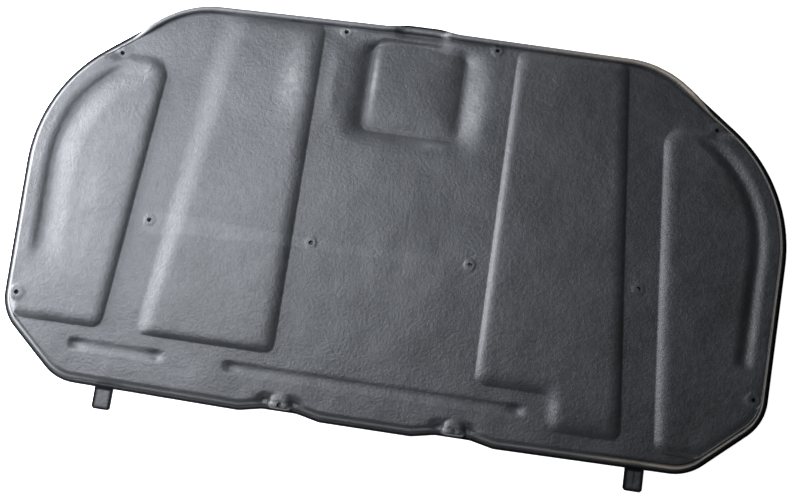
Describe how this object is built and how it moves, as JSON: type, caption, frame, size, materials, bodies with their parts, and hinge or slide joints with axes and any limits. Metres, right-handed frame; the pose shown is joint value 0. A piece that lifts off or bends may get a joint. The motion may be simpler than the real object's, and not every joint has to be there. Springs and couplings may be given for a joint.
{
  "type": "bonnet insulation pad",
  "caption": "Press-moulded felt heat and sound pad for the inside of a bonnet, with raised panels, a basin at the front edge, clip holes and tabs.",
  "frame": {"origin": "centre of the bounding box, on the flat back face", "axes": "+X along the length, towards the end with the long pad; +Y towards the front edge with the basin; +Z out of the moulded face"},
  "size_m": [1.2672, 0.71, 0.0255],
  "materials": {
    "felt": "matt non-woven felt"
  },
  "bodies": {
    "root": {"insulation_pad": "felt"}
  },
  "joints": []
}
